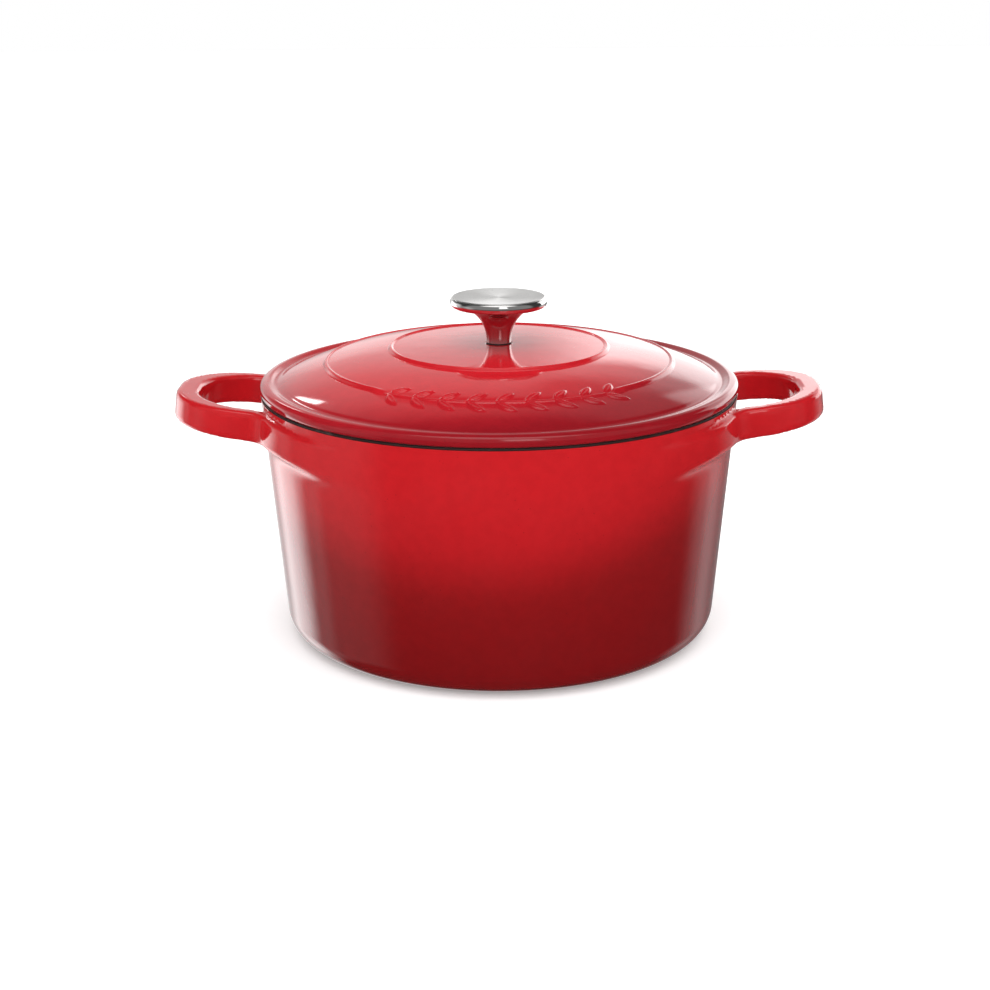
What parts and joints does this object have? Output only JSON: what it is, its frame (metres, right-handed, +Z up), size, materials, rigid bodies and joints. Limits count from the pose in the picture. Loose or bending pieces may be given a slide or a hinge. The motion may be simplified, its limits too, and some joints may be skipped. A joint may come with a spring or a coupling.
{
  "type": "dutch oven",
  "caption": "Round enamelled cast iron dutch oven with two loop handles and a domed lift-off lid with a steel knob; holds food for braising and baking.",
  "frame": {"origin": "on the table under the middle of the pot, at the centre of the foot ring", "axes": "+Z up along the pot's axis; +X along the line through the two loop handles; -Y is the front, where the lid's relief is"},
  "size_m": [0.3814, 0.28, 0.1998],
  "materials": {
    "bare_iron": "matte",
    "red_enamel": "gloss",
    "cream_enamel": "gloss",
    "polished_steel": "polished",
    "brushed_steel": "brushed",
    "plain_steel": "satin",
    "seal_rubber": "matte"
  },
  "bodies": {
    "pot": {"pot_casting": "bare_iron", "pot_exterior_enamel": "red_enamel", "pot_interior_enamel": "cream_enamel"},
    "lid": {"lid_casting": "bare_iron", "lid_exterior_enamel": "red_enamel", "lid_interior_enamel": "cream_enamel", "knob_stem": "polished_steel", "knob_cap": "brushed_steel", "knob_insert": "plain_steel", "knob_gasket": "seal_rubber", "knob_screw": "plain_steel", "spring_washer": "plain_steel", "flat_washer": "plain_steel"}
  },
  "joints": [
    {"name": "lid_lift", "type": "slide", "parent": "pot", "child": "lid", "axis": [0, 0, 1], "range_m": [0, 0.2]}
  ]
}
